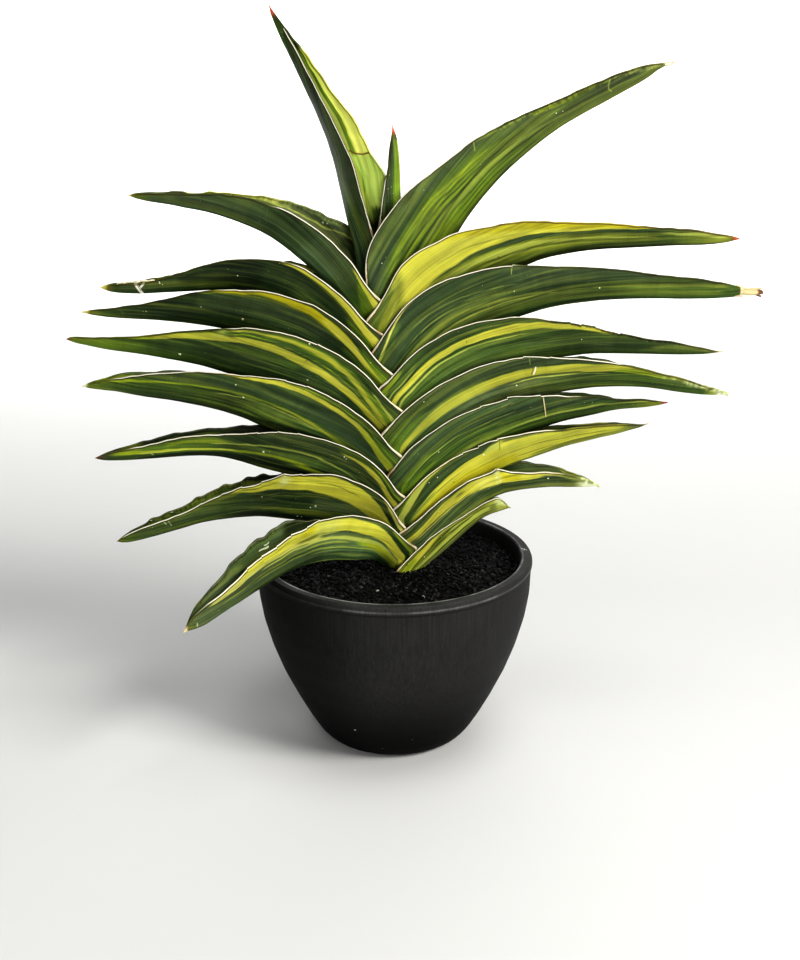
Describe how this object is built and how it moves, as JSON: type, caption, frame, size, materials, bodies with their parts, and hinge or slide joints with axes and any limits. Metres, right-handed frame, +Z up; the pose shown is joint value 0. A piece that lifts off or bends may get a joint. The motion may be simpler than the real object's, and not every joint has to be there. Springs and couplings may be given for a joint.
{
  "type": "potted snake plant",
  "caption": "Potted snake plant: a flat fan of thick, boat-shaped, yellow-striped leaves that clasp a short hidden stem, in a plain tapered pot filled with black grit.",
  "frame": {"origin": "middle of the pot's flat base, on the surface the pot stands on", "axes": "+Z up; the fan of leaves lies close to the XZ plane, with the braid of leaf edges on its -Y side, which is the front; +X to the right seen from the front"},
  "size_m": [0.4772, 0.2128, 0.5102],
  "materials": {
    "leaf": "satin",
    "leaf_young": "satin",
    "stem": "satin",
    "grit": "matte",
    "pot": "matte"
  },
  "bodies": {
    "root": {"leaf_left_1": "leaf", "leaf_left_2": "leaf", "leaf_left_3": "leaf", "leaf_left_4": "leaf", "leaf_left_5": "leaf", "leaf_left_6": "leaf", "leaf_left_7": "leaf", "leaf_left_8": "leaf", "leaf_left_9": "leaf", "leaf_right_1": "leaf", "leaf_right_2": "leaf", "leaf_right_3": "leaf", "leaf_right_4": "leaf", "leaf_right_5": "leaf", "leaf_right_6": "leaf", "leaf_right_7": "leaf", "leaf_right_8": "leaf", "leaf_right_9": "leaf", "leaf_centre": "leaf_young", "stem": "stem", "soil": "grit", "pot": "pot"}
  },
  "joints": []
}
